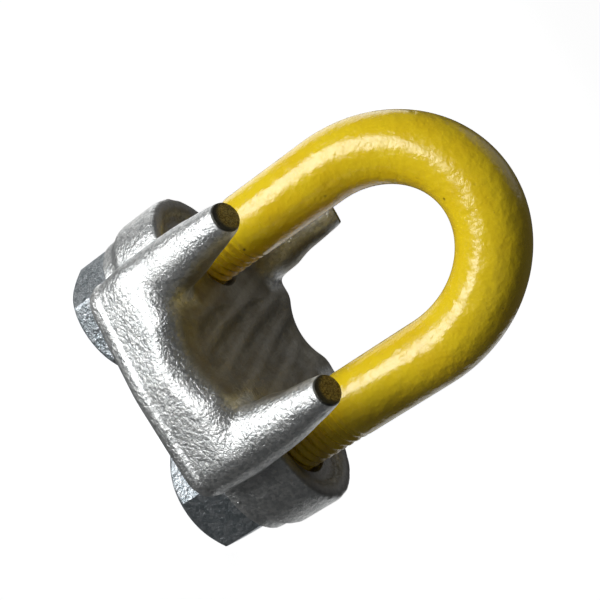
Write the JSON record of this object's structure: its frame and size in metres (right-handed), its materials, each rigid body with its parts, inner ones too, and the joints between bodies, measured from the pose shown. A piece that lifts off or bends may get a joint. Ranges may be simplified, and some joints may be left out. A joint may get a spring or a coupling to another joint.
{
  "type": "wire rope clip",
  "caption": "U-bolt wire rope clip: a bent round rod with threaded legs, a forged saddle with horns and a rope valley, and hex nuts that draw the saddle toward the crown.",
  "frame": {"origin": "bottom centre of the bounding box, on the plane of the leg ends, midway between the legs", "axes": "+Z from the leg ends to the crown, X from leg to leg, the rope runs along Y"},
  "size_m": [0.1128, 0.0897, 0.1455],
  "materials": {
    "yellow_paint": "gloss enamel over a galvanised rod",
    "galvanised_forging": "hot-dip galvanised, grainy and bright",
    "galvanised_nut": "galvanised, darker and smoother"
  },
  "bodies": {
    "u_bolt": {"u_bolt": "yellow_paint"},
    "saddle": {"saddle": "galvanised_forging"},
    "nut_left": {"nut_left": "galvanised_nut"},
    "nut_right": {"nut_right": "galvanised_nut"}
  },
  "joints": [
    {"name": "saddle_slide", "type": "slide", "parent": "u_bolt", "child": "saddle", "axis": [0, 0, 1], "range_m": [0, 0.0381]},
    {"name": "nut_left_turn", "type": "hinge", "parent": "saddle", "child": "nut_left", "pos_m": [-0.0329, 0, 0.01135], "axis": [0, 0, 1], "range_deg": [0, 4860]},
    {"name": "nut_right_turn", "type": "hinge", "parent": "saddle", "child": "nut_right", "pos_m": [0.0329, 0, 0.01135], "axis": [0, 0, 1], "range_deg": [0, 4860]}
  ],
  "couplings": [
    {"joint": "nut_left_turn", "follows": "saddle_slide", "rad_per_m": 2226.3},
    {"joint": "nut_right_turn", "follows": "saddle_slide", "rad_per_m": 2226.3}
  ]
}
